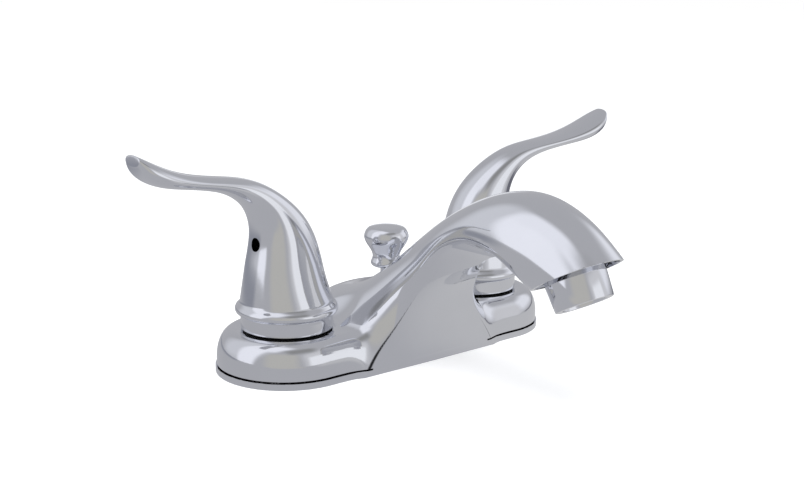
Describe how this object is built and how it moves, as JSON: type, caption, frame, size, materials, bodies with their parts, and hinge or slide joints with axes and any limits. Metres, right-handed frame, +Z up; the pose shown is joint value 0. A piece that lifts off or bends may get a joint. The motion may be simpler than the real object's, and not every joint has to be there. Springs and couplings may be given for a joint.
{
  "type": "bathroom sink faucet",
  "caption": "Centreset basin faucet with a one-piece deck plate and arched spout, lever handles on quarter-turn valves, an aerator and a pop-up lift rod.",
  "frame": {"origin": "middle of the deck plate's underside, level with the top of the basin", "axes": "+X along the deck plate towards the cold (right) handle, -Y towards the user along the spout, +Z up"},
  "size_m": [0.2362, 0.1487, 0.1813],
  "materials": {
    "polished_chrome": "polished chrome plate",
    "brass": "turned, unplated",
    "copper_tube": "drawn copper",
    "steel": "zinc plated",
    "black_plastic": "moulded black",
    "white_plastic": "moulded white",
    "black_rubber": "moulded",
    "ceramic": "ground ceramic"
  },
  "bodies": {
    "faucet_body": {"spout_body": "polished_chrome", "base_plate": "black_plastic", "spout_tube": "copper_tube", "waterway_manifold": "brass", "aerator_housing": "polished_chrome", "aerator_screen": "white_plastic", "aerator_washer": "black_rubber", "lift_rod_guide": "white_plastic", "left_valve_body": "brass", "left_seat_seal": "black_rubber", "left_fixed_disc": "ceramic", "left_cartridge": "brass", "left_bonnet_nut": "brass", "left_shell_nut": "brass", "left_trim_ring": "black_plastic", "left_fixing_washer": "steel", "left_fixing_nut": "black_plastic", "right_valve_body": "brass", "right_seat_seal": "black_rubber", "right_fixed_disc": "ceramic", "right_cartridge": "brass", "right_bonnet_nut": "brass", "right_shell_nut": "brass", "right_trim_ring": "black_plastic", "right_fixing_washer": "steel", "right_fixing_nut": "black_plastic"},
    "left_lever": {"left_moving_disc": "ceramic", "left_stem": "brass", "left_stem_seal": "black_rubber", "left_handle": "polished_chrome", "left_handle_insert": "white_plastic", "left_set_screw": "steel"},
    "right_lever": {"right_moving_disc": "ceramic", "right_stem": "brass", "right_stem_seal": "black_rubber", "right_handle": "polished_chrome", "right_handle_insert": "white_plastic", "right_set_screw": "steel"},
    "lift_rod": {"lift_rod": "polished_chrome", "lift_knob": "polished_chrome"}
  },
  "joints": [
    {"name": "left_handle_turn", "type": "hinge", "parent": "faucet_body", "child": "left_lever", "pos_m": [-0.0508, 0, 0.0185], "axis": [0, 0, 1], "range_deg": [0, 90]},
    {"name": "right_handle_turn", "type": "hinge", "parent": "faucet_body", "child": "right_lever", "pos_m": [0.0508, 0, 0.0185], "axis": [0, 0, 1], "range_deg": [-90, 0]},
    {"name": "lift_rod_slide", "type": "slide", "parent": "faucet_body", "child": "lift_rod", "axis": [0, 0, 1], "range_m": [0, 0.035]}
  ]
}
